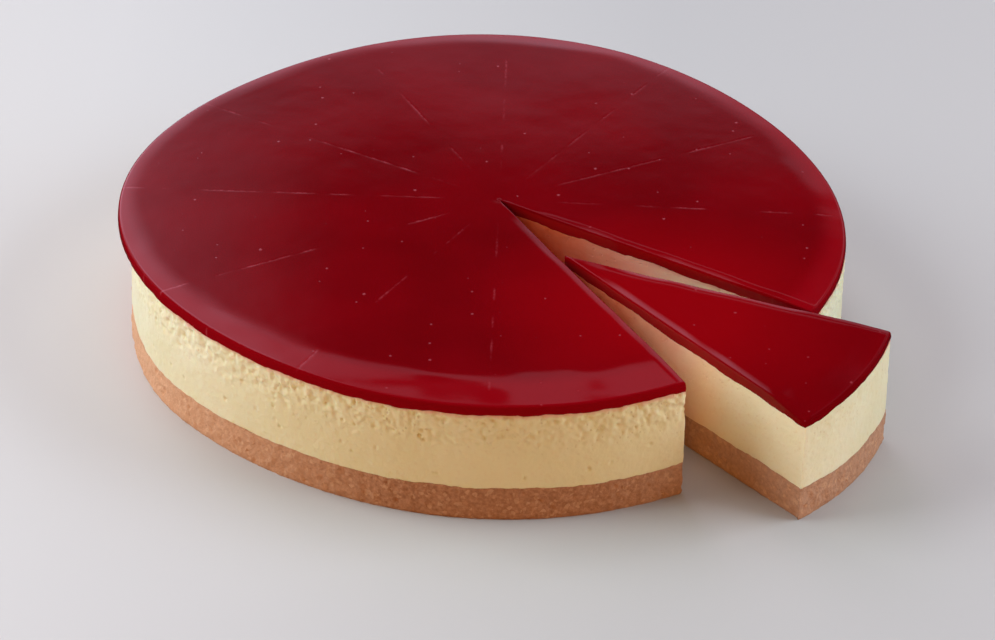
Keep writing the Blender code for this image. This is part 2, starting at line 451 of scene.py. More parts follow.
def jelly_drop(piece, azimuth, distance, reach):
    """How far the jelly's surface lies below its middle level."""
    inset = reach - distance
    spot = piece.place(azimuth, distance, 0.0)
    width = slope_width(azimuth)
    waver = SLOPE_WAVER * width / SLOPE_WIDTH
    waver = waver * layered_ripple(spot, SLOPE_WAVER_LENGTH, piece.seed + 1, 2)
    into_slope = np.maximum(0.0, width + waver - inset)
    first, last = piece.shoulder
    turn = np.clip((azimuth - piece.start) / (piece.end - piece.start), 0, 1)
    slope = JELLY_MIDDLE - first - (last - first) * turn
    onset = into_slope ** 2 / (2 * SLOPE_ONSET)
    ramp = np.where(into_slope < SLOPE_ONSET, onset, into_slope - SLOPE_ONSET / 2)
    drop = slope * ramp / SLOPE_RUN
    edge = np.clip(1 - inset / EDGE_ROUND, 0, 1)
    drop += EDGE_ROUND * (1 - np.sqrt(np.maximum(0.0, 1 - edge ** 2)))
    from_cut = piece.cut_distance(azimuth, distance)
    lip = np.clip(1 - from_cut / CUT_LIP_WIDTH, 0, 1)
    lip_height = CUT_LIP_DROP * (1 + CUT_LIP_UNEVEN * ripple(spot, CUT_LIP_LENGTH, piece.seed + 5))
    lip_height *= smooth_step((distance - CUT_LIP_START[0]) / (CUT_LIP_START[1] - CUT_LIP_START[0]))
    drop += lip_height * lip ** CUT_LIP_CURVE
    corner = np.clip(1 - from_cut / CUT_ROUND, 0, 1)
    drop += CUT_ROUND * (1 - np.sqrt(np.maximum(0.0, 1 - corner ** 2)))
    return drop


def score_groove(piece, azimuth, distance):
    """Depth of the knife marks between portions, broken up along their length."""
    groove = np.zeros_like(azimuth)
    for number, score in enumerate(piece.scores):
        away = np.abs(distance * np.sin(np.clip(azimuth - score, -math.pi / 2, math.pi / 2)))
        beside = np.full_like(distance, number * SCORE_APART)
        along = np.stack([distance, beside, np.zeros_like(distance)], axis=-1)
        breaks = layered_ripple(along, SCORE_BREAK_LENGTH, piece.seed + 20 + number, 3)
        strength = np.clip(SCORE_MEAN + SCORE_BREAKS * breaks, SCORE_LEAST, 1.0)
        strength *= SCORE_STRENGTHS[number]
        strength *= smooth_step((distance - SCORE_FADE[0]) / (SCORE_FADE[1] - SCORE_FADE[0]))
        groove += strength * SCORE_DEPTH * np.clip(1 - away / SCORE_HALF_WIDTH, 0, 1)
        ridge = np.exp(-(((away - SCORE_RIDGE_PLACE) / SCORE_RIDGE_WIDTH) ** 2))
        groove -= strength * SCORE_RIDGE * SCORE_DEPTH * ridge
    return groove


def jelly_surface_height(piece, azimuth, distance, reach):
    """Height of the jelly's top, with its slope, cut edges, knife marks and gentle unevenness."""
    spot = piece.place(azimuth, distance, 0.0)
    height = JELLY_LEVEL - jelly_drop(piece, azimuth, distance, reach)
    height -= score_groove(piece, azimuth, distance)
    height += JELLY_SWELL * ripple(spot, JELLY_SWELL_LENGTH, piece.seed + 8)
    height += JELLY_FILM * layered_ripple(spot, JELLY_FILM_LENGTH, piece.seed + 9, 2)
    return height


def set_attribute(thing, name, values):
    """Stores a value for each point of a mesh, which its material reads."""
    thing.data.attributes.new(name, "FLOAT", "POINT").data.foreach_set("value", values)


def make_jelly(piece, material):
    """The jelly on a piece: its top, its side down to the seam, and its underside."""
    azimuth, distance, reach = surface_lines(piece)
    height = jelly_surface_height(piece, azimuth, distance, reach)
    grid = piece.place(azimuth, distance, height)
    points = [(piece.apex[0], piece.apex[1], APEX_LEVEL)]
    points.extend(grid.reshape(-1, 3).tolist())
    rows, columns = azimuth.shape
    faces = []
    for column in range(columns - 1):
        faces.append((0, 1 + column, 2 + column))
    for row in range(rows - 1):
        first = 1 + row * columns
        for column in range(columns - 1):
            here = first + column
            faces.append((here, here + columns, here + columns + 1, here + 1))
    start_side = [1 + row * columns for row in range(rows)]
    rim = [1 + (rows - 1) * columns + column for column in range(1, columns)]
    end_side = [columns + row * columns for row in range(rows - 2, -1, -1)]
    loop = start_side + rim + end_side + [0]
    add_jelly_side(piece, points, faces, loop, len(start_side), len(rim))
    settled = piece.settled(np.array(points))
    thing = build_object(piece.name + "_jelly_surface", settled, faces, material)
    thin = np.full(len(points), THIN_RIM if piece.scores else 0.0)
    thin[0] = 0.0
    inset = (reach - distance).reshape(-1)
    into_slope = slope_width(azimuth).reshape(-1) - inset
    thin[1 : 1 + len(inset)] *= smooth_step(into_slope / THIN_RIM_BLEND)
    set_attribute(thing, "thin", thin)
    mark = np.zeros(len(points))
    mark[1 : 1 + len(inset)] = score_groove(piece, azimuth, distance).reshape(-1) / SCORE_DEPTH
    set_attribute(thing, "mark", mark)
    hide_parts(piece.name + "_jelly")


def add_jelly_side(piece, points, faces, loop, start_count, rim_count):
    """The side under the surface's border, down to the seam, and the underside."""
    top = np.array([points[index] for index in loop])
    seam = seam_height(top, FILLING_TOP, SEAM_SEEDS["jelly"]) - JELLY_OVERLAP
    outward = top[:, :2] - piece.centre
    outward /= np.linalg.norm(outward, axis=1, keepdims=True)
    on_rim = np.zeros(len(loop))
    on_rim[start_count - 1 : start_count + rim_count] = 1.0
    count = len(loop)
    start = len(points)
    for ring in range(1, JELLY_SIDE_RINGS + 1):
        share = ring / JELLY_SIDE_RINGS
        level = top.copy()
        level[:, 2] = top[:, 2] + (seam - top[:, 2]) * share
        swell = JELLY_BULGE * math.sin(math.pi * min(1.0, share * JELLY_BULGE_SPAN))
        level[:, :2] += outward * (swell * on_rim)[:, None]
        points.extend(level.tolist())
    for place in range(count):
        following = (place + 1) % count
        faces.append((loop[place], start + place, start + following, loop[following]))
    faces.extend(skirt_faces(start, count, JELLY_SIDE_RINGS - 1))
    last = [start + (JELLY_SIDE_RINGS - 1) * count + place for place in range(count)]
    cap(points, faces, last, FILLING_TOP - JELLY_OVERLAP, piece.inner_point(), upward=False)


# Filling and biscuit sides


class Outline:
    """The border of a piece, counter-clockwise: start cut, rim, end cut, apex."""

    def __init__(self, piece):
        self.piece = piece
        span = piece.end - piece.start
        rim_count = round(CAKE_RADIUS * span / SIDE_SPACING)
        azimuth = np.linspace(piece.start, piece.end, rim_count + 1)
        reach = piece.body_reach(azimuth)
        rim = piece.place(azimuth, reach, 0.0)[:, :2]
        start_wall = self.wall(piece.start, reach[0])
        end_wall = self.wall(piece.end, reach[-1])[::-1]
        self.points = np.concatenate([start_wall, rim, end_wall, [piece.apex]])
        count = len(self.points)
        first = len(start_wall)
        last = first + len(rim) - 1
        self.rim_share = np.zeros(count)
        self.rim_share[first : last + 1] = 1.0
        self.outward = np.zeros((count, 2))
        middle = rim - piece.centre
        middle /= np.linalg.norm(middle, axis=1, keepdims=True)
        self.outward[:first] = (math.sin(piece.start), -math.cos(piece.start))
        self.outward[first : last + 1] = middle
        self.outward[last + 1 :] = (-math.sin(piece.end), math.cos(piece.end))
        blend = self.outward[first] + self.outward[first - 1]
        self.outward[first] = blend / np.linalg.norm(blend)
        blend = self.outward[last] + self.outward[last + 1]
        self.outward[last] = blend / np.linalg.norm(blend)
        bisector = (piece.start + piece.end) / 2
        self.outward[-1] = (-math.cos(bisector), -math.sin(bisector))
        steps = np.linalg.norm(np.diff(self.points, axis=0), axis=1)
        self.along = np.concatenate([[0.0], np.cumsum(steps)])
        from_apex = np.linalg.norm(self.points - piece.apex, axis=1)
        # Stain and painted shade on the cut walls, full near the tip and gone at the stain's reach
        inner = smooth_step(1 - (from_apex - STAIN_AND_SHADE_REACH[0]) / (STAIN_AND_SHADE_REACH[1] - STAIN_AND_SHADE_REACH[0]))
        self.stain_and_shade = (1 - self.rim_share) * inner

    def wall(self, azimuth, length):
        count = round(length / WALL_SPACING)
        distance = np.linspace(0, length, count + 1)[1:-1]
        return self.piece.place(np.full_like(distance, azimuth), distance, 0.0)[:, :2]


def side_spread(height):
    """How far the plain side stands out, which spreads a little towards the foot."""
    return FOOT_SPREAD * (1 - height / JELLY_SHOULDER)


def layer_side(outline, top, bottom, rings):
    """Undisplaced side points (rings x places x 3) between two seams."""
    share = np.linspace(0, 1, rings + 1)[:, None]
    height = top[None, :] + (bottom - top)[None, :] * share
    spread = side_spread(height) * outline.rim_share[None, :]
    x = outline.points[None, :, 0] + outline.outward[None, :, 0] * spread
    y = outline.points[None, :, 1] + outline.outward[None, :, 1] * spread
    return np.stack([x, y, height], axis=-1)


def make_layer(piece, outline, name, side, relief, levels, material):
    """Closed solid of a layer: its side pushed in by the relief, and its two hidden faces."""
    side = side.copy()
    side[..., :2] -= outline.outward[None, :, :] * relief[..., None]
    rings, count = side.shape[:2]
    points = side.reshape(-1, 3).tolist()
    faces = skirt_faces(0, count, rings - 1)
    centre = piece.inner_point()
    cap(points, faces, list(range(count)), levels[0], centre, upward=True)
    last = (rings - 1) * count
    cap(points, faces, list(range(last, last + count)), levels[1], centre, upward=False)
    thing = build_object(piece.name + name, piece.settled(np.array(points)), faces, material)
    on_side = np.tile(outline.stain_and_shade, rings)
    on_caps = np.zeros(len(points) - len(on_side))
    set_attribute(thing, "stain_and_shade", np.concatenate([on_side, on_caps]))
    return thing


def add_dents(relief, along, height, length, dents, draws):
    """Adds rounded hollows at seeded places, as many as a length of side calls for."""
    spacing, size, depth, band, tallest = dents
    count = round(length / spacing)
    length = along.max()
    spots = zip(
        draws.spread(0, length, count),
        draws.spread(band[0], band[1], count),
        draws.spread(size[0], size[1], count),
        draws.spread(depth[0], depth[1], count),
        draws.spread(LEAST_TALL, tallest, count),
    )
    for spot, level, radius, deep, tall in spots:
        columns = np.nonzero(np.abs(along - spot) < radius)[0]
        if len(columns) == 0:
            continue
        part = np.s_[:, columns[0] : columns[-1] + 1]
        across = (along[columns[0] : columns[-1] + 1] - spot)[None, :] / radius
        upright = (height[part] - level) / (radius * tall)
        away = across ** 2 + upright ** 2
        relief[part] += deep * np.clip(1 - away, 0, 1) ** PIT_CURVE


def filling_relief(piece, outline, side, draws):
    """Depth of the filling's side below its plain form: pits and crags high up, smooth low down."""
    height = side[..., 2]
    share = np.clip((height - BISCUIT_TOP) / (FILLING_TOP - BISCUIT_TOP), 0, 1)
    on_rim = outline.rim_share[None, :]
    rough = smooth_step((share - ROUGH_FROM) / ROUGH_BLEND) * on_rim * piece.roughness
    crag = layered_ripple(side, CRAG_LENGTH, piece.seed + 40, 2)
    relief = rough * CRAG_DEPTH * np.clip(crag + CRAG_LEVEL, 0, 1)
    relief += rough * GRIT_DEPTH * ripple(side, GRIT_LENGTH, piece.seed + 43)
    relief += GRAIN_DEPTH * layered_ripple(side, GRAIN_LENGTH, piece.seed + 44, 2)
    relief += SWELL_DEPTH * ripple(side * SWELL_STRETCH, SWELL_LENGTH, piece.seed + 46) * on_rim
    pits = np.zeros_like(relief)
    rim_length = outline.rim_share.sum() * SIDE_SPACING
    for dents in FILLING_PITS:
        add_dents(pits, outline.along, height, rim_length, dents, draws)
    relief += pits * on_rim * piece.roughness
    below_seam = smooth_step((CALM_START - height) / CALM_BLEND)
    return relief * (CALM_SHARE + (1 - CALM_SHARE) * below_seam)


def biscuit_relief(piece, outline, side, draws):
    """Grains and small holes of the pressed crumbs."""
    height = side[..., 2]
    relief = CRUMB_DEPTH * layered_ripple(side, CRUMB_LENGTH, piece.seed + 60, 3)
    grain = np.abs(ripple(side, CRUMB_GRAIN_LENGTH, piece.seed + 65))
    relief += CRUMB_GRAIN_DEPTH * (CRUMB_GRAIN_LEVEL - grain)
    add_dents(relief, outline.along, height, outline.along.max(), BISCUIT_PITS, draws)
    foot = smooth_step(1 - height / FOOT_HEIGHT)
    return relief * (1 - FOOT_CALM * foot) + foot * FOOT_INSET


def make_filling_and_biscuit(piece, filling, biscuit, draws):
    """The two layers under the jelly, with the same outline and a shared seam."""
    outline = Outline(piece)
    border = np.column_stack([outline.points, np.zeros(len(outline.points))])
    jelly_seam = seam_height(border, FILLING_TOP, SEAM_SEEDS["jelly"])
    biscuit_seam = seam_height(border, BISCUIT_TOP, SEAM_SEEDS["biscuit"])
    rings = round((FILLING_TOP - BISCUIT_TOP) / SIDE_SPACING)
    side = layer_side(outline, jelly_seam, biscuit_seam - LAYER_LAP, rings)
    relief = filling_relief(piece, outline, side, draws)
    levels = (FILLING_TOP - LAYER_LAP, BISCUIT_TOP)
    thing = make_layer(piece, outline, "_filling_surface", side, relief, levels, filling)
    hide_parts(piece.name + "_filling")
    rings = round(BISCUIT_TOP / SIDE_SPACING)
    floor = np.full(len(border), FLOOR_LEVEL)
    side = layer_side(outline, biscuit_seam, floor, rings)
    relief = biscuit_relief(piece, outline, side, draws)
    levels = (BISCUIT_TOP - LAYER_LAP, FLOOR_LEVEL)
    thing = make_layer(piece, outline, "_biscuit_surface", side, relief, levels, biscuit)
    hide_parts(piece.name + "_biscuit")


# Materials


class Nodes:
    """Adds nodes to a material and links them."""

    def __init__(self, name):
        self.material = bpy.data.materials.new(name)
        self.material.use_nodes = True
        self.tree = self.material.node_tree
        self.shader = self.tree.nodes["Principled BSDF"]

    def add(self, kind, links=None, **settings):
        node = self.tree.nodes.new(kind)
        for key, value in settings.items():
            setattr(node, key, value)
        for socket, value in (links or {}).items():
            if isinstance(value, bpy.types.NodeSocket):
                self.tree.links.new(value, node.inputs[socket])
            else:
                node.inputs[socket].default_value = value
        return node

    def place(self):
        return self.add("ShaderNodeTexCoord").outputs["Object"]

    def noise(self, place, size, detail=3.0, roughness=0.5):
        links = {"Vector": place, "Scale": 1 / size, "Detail": detail, "Roughness": roughness}
        return self.add("ShaderNodeTexNoise", links).outputs["Fac"]

    def grains(self, place, size, output="Distance"):
        links = {"Vector": place, "Scale": 1 / size}
        return self.add("ShaderNodeTexVoronoi", links).outputs[output]

    def remap(self, value, low, high, to_low=0.0, to_high=1.0):
        links = {"Value": value, "From Min": low, "From Max": high}
        links.update({"To Min": to_low, "To Max": to_high})
        return self.add("ShaderNodeMapRange", links, clamp=True).outputs["Result"]

    def math(self, operation, first, second=0.0):
        return self.add("ShaderNodeMath", {0: first, 1: second}, operation=operation).outputs[0]

    def mix(self, share, first, second):
        node = self.add("ShaderNodeMix", data_type="RGBA")
        for socket, value in ((0, share), (6, first), (7, second)):
            if isinstance(value, bpy.types.NodeSocket):
                self.tree.links.new(value, node.inputs[socket])
            elif socket == 0:
                node.inputs[socket].default_value = value
            else:
                node.inputs[socket].default_value = (*value, 1.0)
        return node.outputs[2]

    def part(self, place, axis):
        return self.add("ShaderNodeSeparateXYZ", {0: place}).outputs[axis]

    def red(self, color):
        return self.add("ShaderNodeSeparateColor", {0: color}).outputs[0]

    def attribute(self, name):
        return self.add("ShaderNodeAttribute", attribute_name=name).outputs["Fac"]

    def distance(self, first, second):
        links = {0: first, 1: second}
        return self.add("ShaderNodeVectorMath", links, operation="DISTANCE").outputs["Value"]

    def bump(self, height, distance, strength=1.0, normal=None):
        links = {"Height": height, "Distance": distance, "Strength": strength}
        if normal is not None:
            links["Normal"] = normal
        return self.add("ShaderNodeBump", links).outputs["Normal"]

    def connect(self, value, socket):
        self.tree.links.new(value, self.shader.inputs[socket])

    def set(self, values):
        for socket, value in values.items():
            self.shader.inputs[socket].default_value = value


# Limits of the noise that clouds the jelly and the filling
CLOUD_LIMITS = (0.35, 0.65)

# Jelly: the middle of a painted light patch, a lighter red on the slice that fades out towards the
# notch, and the distances from there at which that begins and is full; the small bubbles, one drawn
# in each cell, with sizes as shares of the cell; and the knife marks, pale where the knife tore the
# jelly, with a painted reflection along them
JELLY_COLORS = {
    "deep": (0.146, 0.0003, 0.0022),
    "light": (0.182, 0.0005, 0.0030),
    "thin area": (0.258, 0.0005, 0.0030),
    "thin rim": (0.272, 0.0012, 0.0050),
    "bubble": (0.42, 0.06, 0.08),
    "knife mark": (0.40, 0.055, 0.075),
}
JELLY_LOOK = {
    "Roughness": 0.06,
    "IOR": 1.34,
    "Subsurface Weight": 0.12,
    "Subsurface Radius": (1.0, 0.12, 0.10),
    "Subsurface Scale": 1.5 * MM,
}
JELLY_CLOUD = 45.0 * MM
LIGHT_PATCH_MIDDLE = (62.0 * MM, -58.0 * MM, JELLY_MIDDLE)
LIGHT_PATCH_REACH = (64.0 * MM, 20.0 * MM)
BUBBLE_CELL = 12.0 * MM
BUBBLE_DRAW = (0.50, 1.0)
BUBBLE_SIZES = (0.0, 0.055)
BUBBLE_EDGE = 0.04
BUBBLE_SHARE = 0.6
BUBBLE_RELIEF = (0.05 * MM, 0.6)
MARK_LIMITS = (0.02, 0.6)
TORN_SHEEN_SIZE = 1.6 * MM
TORN_SHEEN_LIMITS = (0.38, 0.62)
TORN_SHEEN_SHARES = (0.1, 0.75)
FILM_SIZE = 6.0 * MM
FILM_RELIEF = 0.008 * MM


def jelly_material():
    """Deep clear red, lighter at the thin rim and in a painted light patch, with bubbles and pinkish
    knife marks partly painted as reflection.
    """
    nodes = Nodes("raspberry jelly")
    place = nodes.place()
    cloud = nodes.noise(place, JELLY_CLOUD, detail=2.0)
    cloud = nodes.remap(cloud, *CLOUD_LIMITS)
    color = nodes.mix(cloud, JELLY_COLORS["deep"], JELLY_COLORS["light"])
    # Painted light: the jelly is mixed to a lighter red within a radius of a point on the slice
    in_light_patch = nodes.remap(nodes.distance(place, LIGHT_PATCH_MIDDLE), *LIGHT_PATCH_REACH)
    color = nodes.mix(in_light_patch, color, JELLY_COLORS["thin area"])
    color = nodes.mix(nodes.attribute("thin"), color, JELLY_COLORS["thin rim"])
    links = {"Vector": place, "Scale": 1 / BUBBLE_CELL}
    bubble = nodes.add("ShaderNodeTexVoronoi", links, voronoi_dimensions="2D").outputs
    bubble_size = nodes.remap(nodes.red(bubble["Color"]), *BUBBLE_DRAW, *BUBBLE_SIZES)
    within = nodes.math("SUBTRACT", bubble_size, bubble["Distance"])
    speck = nodes.remap(within, 0.0, BUBBLE_EDGE)
    color = nodes.mix(nodes.math("MULTIPLY", speck, BUBBLE_SHARE), color, JELLY_COLORS["bubble"])
    # Knife marks: pale torn jelly together with a painted reflection, broken up by noise along the
    # marks
    mark = nodes.remap(nodes.attribute("mark"), *MARK_LIMITS)
    torn_sheen = nodes.noise(place, TORN_SHEEN_SIZE, detail=2.0)
    torn_sheen = nodes.remap(torn_sheen, *TORN_SHEEN_LIMITS, *TORN_SHEEN_SHARES)
    color = nodes.mix(nodes.math("MULTIPLY", mark, torn_sheen), color, JELLY_COLORS["knife mark"])
    nodes.connect(color, "Base Color")
    nodes.set(JELLY_LOOK)
    normal = nodes.bump(nodes.noise(place, FILM_SIZE, detail=2.0), FILM_RELIEF)
    nodes.connect(nodes.bump(speck, *BUBBLE_RELIEF, normal), "Normal")
    return nodes.material


# Filling: painted shade makes its front deeper in tone, as far as the near cut; grain all over;
# holes high up, in patches, darkened by painted shade; juice under the jelly; and on the gap's walls
# juice stain with painted shade, pink at first and red near the tip
FILLING_COLORS = {
    "cream": (0.83, 0.760, 0.505),
    "pale cream": (0.87, 0.820, 0.585),
    "front": (0.75, 0.655, 0.345),
    "grain": (0.78, 0.60, 0.33),
    "hole": (0.62, 0.40, 0.19),
    "juice": (0.72, 0.22, 0.16),
    "pink wall": (0.90, 0.47, 0.33),
    "soaked wall": (0.72, 0.14, 0.04),
}
FILLING_LOOK = {
    "Roughness": 0.62,
    "IOR": 1.4,
    "Subsurface Weight": 0.20,
    "Subsurface Radius": (1.0, 0.55, 0.25),
    "Subsurface Scale": 1.5 * MM,
}
FILLING_CLOUD = 18.0 * MM
FRONT_SHADE_REACH = (-78.0 * MM, -113.0 * MM)
FRONT_SHADE_SHARE = 0.6
FRONT_SHADE_END = (70.0 * MM, 60.0 * MM)
TINT_SIZE = 1.2 * MM
TINT_LIMITS = (0.56, 0.72)
TINT_SHARE = 0.30
TINT_RELIEF = (0.18 * MM, 0.7)
HOLE_SPACING = 1.7 * MM
HOLE_EDGE = (0.30, 0.16)
HOLE_PATCH = 4.0 * MM
HOLE_PATCH_LIMITS = (0.48, 0.60)
HOLE_HEIGHTS = (BISCUIT_TOP + 9.0 * MM, FILLING_TOP - 6.0 * MM)
HOLE_SHADE_SHARE = 0.30
HOLE_RELIEF = (0.20 * MM, 0.8)
JUICE_SIZE = 3.0 * MM
JUICE_UNEVEN = 1.6 * MM
JUICE_HEIGHTS = (FILLING_TOP - 0.9 * MM, FILLING_TOP + 1.0 * MM)
JUICE_SHARE = 0.75
STREAK_SIZE = 7.0 * MM
STREAK_LIMITS = (0.3, 0.7)
STREAK_SHARES = (0.8, 1.0)
STAINS_AND_SHADE = (((0.0, 0.45), "pink wall"), ((0.42, 1.0), "soaked wall"))


def filling_material():
    """Pale cream, with painted shade deeper in front and in the small holes, grain, juice from the
    jelly, and stain with painted shade on the gap's walls.
    """
    nodes = Nodes("baked cream filling")
    place = nodes.place()
    cloud = nodes.noise(place, FILLING_CLOUD, detail=3.0)
    cloud = nodes.remap(cloud, *CLOUD_LIMITS)
    color = nodes.mix(cloud, FILLING_COLORS["cream"], FILLING_COLORS["pale cream"])
    # Painted shade: the front of the filling, up to the near cut, is mixed towards a deeper, warmer
    # cream
    before = nodes.remap(nodes.part(place, "Y"), *FRONT_SHADE_REACH, 0.0, FRONT_SHADE_SHARE)
    shade_up_to_cut = nodes.remap(nodes.part(place, "X"), *FRONT_SHADE_END)
    color = nodes.mix(nodes.math("MULTIPLY", before, shade_up_to_cut), color, FILLING_COLORS["front"])
    fine = nodes.noise(place, TINT_SIZE, detail=3.0)
    tint = nodes.remap(fine, *TINT_LIMITS, 0.0, TINT_SHARE)
    color = nodes.mix(tint, color, FILLING_COLORS["grain"])
    height = nodes.part(place, "Z")
    holes = nodes.remap(nodes.grains(place, HOLE_SPACING), *HOLE_EDGE)
    patches = nodes.remap(nodes.noise(place, HOLE_PATCH), *HOLE_PATCH_LIMITS)
    holes = nodes.math("MULTIPLY", holes, patches)
    holes = nodes.math("MULTIPLY", holes, nodes.remap(height, *HOLE_HEIGHTS))
    # Painted shade: the small holes are darkened towards brown, besides their bump
    color = nodes.mix(nodes.math("MULTIPLY", holes, HOLE_SHADE_SHARE), color, FILLING_COLORS["hole"])
    uneven = nodes.math("MULTIPLY", nodes.noise(place, JUICE_SIZE), JUICE_UNEVEN)
    juice = nodes.remap(nodes.math("ADD", height, uneven), *JUICE_HEIGHTS, 0.0, JUICE_SHARE)
    color = nodes.mix(juice, color, FILLING_COLORS["juice"])
    # Juice stain on the cut walls together with painted shade: darkest and reddest near the tip,
    # deep in the gap
    stain_and_shade = nodes.attribute("stain_and_shade")
    streaks = nodes.noise(place, STREAK_SIZE, detail=3.0)
    streaks = nodes.remap(streaks, *STREAK_LIMITS, *STREAK_SHARES)
    for limits, name in STAINS_AND_SHADE:
        share = nodes.math("MULTIPLY", nodes.remap(stain_and_shade, *limits), streaks)
        color = nodes.mix(share, color, FILLING_COLORS[name])
    nodes.connect(color, "Base Color")
    nodes.set(FILLING_LOOK)
    normal = nodes.bump(nodes.remap(holes, 0.0, 1.0, 1.0, 0.0), *HOLE_RELIEF)
    nodes.connect(nodes.bump(fine, *TINT_RELIEF, normal), "Normal")
    return nodes.material


# Biscuit: two tones of crumb, with painted light that makes it paler towards the left end and a
# little towards the right, with the places across where that begins and is full; and single pale and
# burnt grains
BISCUIT_COLORS = {
    "dark crumb": (0.34, 0.150, 0.073),
    "light crumb": (0.50, 0.245, 0.132),
    "left": (0.82, 0.47, 0.29),
    "right": (0.72, 0.48, 0.36),
    "pale grain": (0.70, 0.42, 0.25),
    "burnt grain": (0.22, 0.075, 0.032),
}
BISCUIT_LOOK = {"Roughness": 0.85, "IOR": 1.4}
CRUMB_SIZE = 1.3 * MM
CRUMB_LIMITS = (0.34, 0.66)
CRUMB_RELIEF = (0.35 * MM, 0.9)
BISCUIT_PAINTED_LIGHT = (
    ((-20.0 * MM, -105.0 * MM, 0.0, 0.75), "left"),
    ((42.0 * MM, 80.0 * MM, 0.0, 0.27), "right"),
)
PALE_GRAIN_SIZE = 1.2 * MM
PALE_GRAIN_LIMITS = (0.82, 0.95, 0.0, 0.4)
BURNT_GRAIN_SIZE = 1.0 * MM
BURNT_GRAIN_LIMITS = (0.64, 0.78, 0.0, 0.5)
FINE_GRAIN_SIZE = 0.7 * MM
FINE_GRAIN_RELIEF = (0.15 * MM, 0.7)


def biscuit_material():
    """Brown crumbs pressed together."""
    nodes = Nodes("pressed biscuit crumbs")
    place = nodes.place()
    crumb = nodes.noise(place, CRUMB_SIZE, detail=4.0, roughness=0.6)
    shade = nodes.remap(crumb, *CRUMB_LIMITS)
    color = nodes.mix(shade, BISCUIT_COLORS["dark crumb"], BISCUIT_COLORS["light crumb"])
    across = nodes.part(place, "X")
    # Painted light: the biscuit is mixed paler towards the left end and a little towards the right
    for limits, name in BISCUIT_PAINTED_LIGHT:
        color = nodes.mix(nodes.remap(across, *limits), color, BISCUIT_COLORS[name])
    pale = nodes.red(nodes.grains(place, PALE_GRAIN_SIZE, "Color"))
    pale = nodes.remap(pale, *PALE_GRAIN_LIMITS)
    color = nodes.mix(pale, color, BISCUIT_COLORS["pale grain"])
    burnt = nodes.noise(place, BURNT_GRAIN_SIZE, detail=2.0)
    burnt = nodes.remap(burnt, *BURNT_GRAIN_LIMITS)
    color = nodes.mix(burnt, color, BISCUIT_COLORS["burnt grain"])
    nodes.connect(color, "Base Color")
    nodes.set(BISCUIT_LOOK)
    normal = nodes.bump(crumb, *CRUMB_RELIEF)
    fine = nodes.grains(place, FINE_GRAIN_SIZE)
    nodes.connect(nodes.bump(fine, *FINE_GRAIN_RELIEF, normal), "Normal")
    return nodes.material


# Stage: a pale floor, with painted shade that makes it darker on the right

FLOOR_COLOR = (0.67, 0.665, 0.66)
FLOOR_SHADE = (0.54, 0.535, 0.53)
FLOOR_SHADE_REACH = (-150.0 * MM, 60.0 * MM)
FLOOR_CLOUD = 0.35
FLOOR_CLOUD_SHARE = 0.2
FLOOR_CLOUD_TONE = 0.93
FLOOR_LOOK = {"Roughness": 0.7, "Specular IOR Level": 0.2}
FLOOR_RADIUS = 6.0
FLOOR_SIDES = 64
FLOOR_GAP = 0.02 * MM


def floor_material():
    nodes = Nodes("pale floor")
    place = nodes.place()
    cloud = nodes.noise(place, FLOOR_CLOUD, detail=2.0)
    darker = tuple(value * FLOOR_CLOUD_TONE for value in FLOOR_COLOR)
    # Painted shade: the floor is mixed darker towards the right
    shade = nodes.remap(nodes.part(place, "X"), *FLOOR_SHADE_REACH)
    color = nodes.mix(shade, FLOOR_COLOR, FLOOR_SHADE)
    color = nodes.mix(nodes.math("MULTIPLY", cloud, FLOOR_CLOUD_SHARE), color, darker)
    nodes.connect(color, "Base Color")
    nodes.set(FLOOR_LOOK)
    return nodes.material


def add_floor():
    """A large round floor just under the cake, which the jelly doesn't mirror."""
    mesh = bpy.data.meshes.new("floor")
    turns = [math.tau * number / FLOOR_SIDES for number in range(FLOOR_SIDES)]
    points = [(FLOOR_RADIUS * math.cos(turn), FLOOR_RADIUS * math.sin(turn), 0.0) for turn in turns]
    mesh.from_pydata(points, [], [tuple(range(FLOOR_SIDES))])
    mesh.materials.append(floor_material())
    floor = bpy.data.objects.new("floor", mesh)
    floor.location.z = FLOOR_LEVEL - FLOOR_GAP
    bpy.context.scene.collection.objects.link(floor)
    floor.visible_glossy = False


# Soft lights: name, place, size, power in watts and colour. All face the cake
LIGHTS = (
    ("left window", (-1.15, 0.03, 0.75), (1.1, 1.0), 17.5, (0.94, 1.0, 1.02)),
    ("right window", (1.2, 0.03, 0.75), (1.0, 0.9), 13.5, (0.93, 1.02, 1.10)),
    ("front fill", (0.1, -1.6, 0.25), (0.9, 0.3), 8.0, (1.0, 0.44, 0.05)),
    ("ceiling", (0.0, 0.45, 1.6), (1.6, 1.4), 6.0, (1.0, 0.98, 0.96)),
)
LIGHT_TARGET = (0.0, 0.0, 0.02)


def add_light(name, place, size, power, color):
    """A soft rectangular light that faces the cake, and that no glossy surface mirrors."""
    data = bpy.data.lights.new(name, "AREA")
    data.shape = "RECTANGLE"
    data.size = size[0]
    data.size_y = size[1]
    data.energy = power
    data.color = color
    light = bpy.data.objects.new(name, data)
    light.location = place
    facing = Vector(LIGHT_TARGET) - Vector(place)
    light.rotation_euler = facing.to_track_quat("-Z", "Y").to_euler()
    light.visible_camera = False
    light.visible_glossy = False
    bpy.context.scene.collection.objects.link(light)


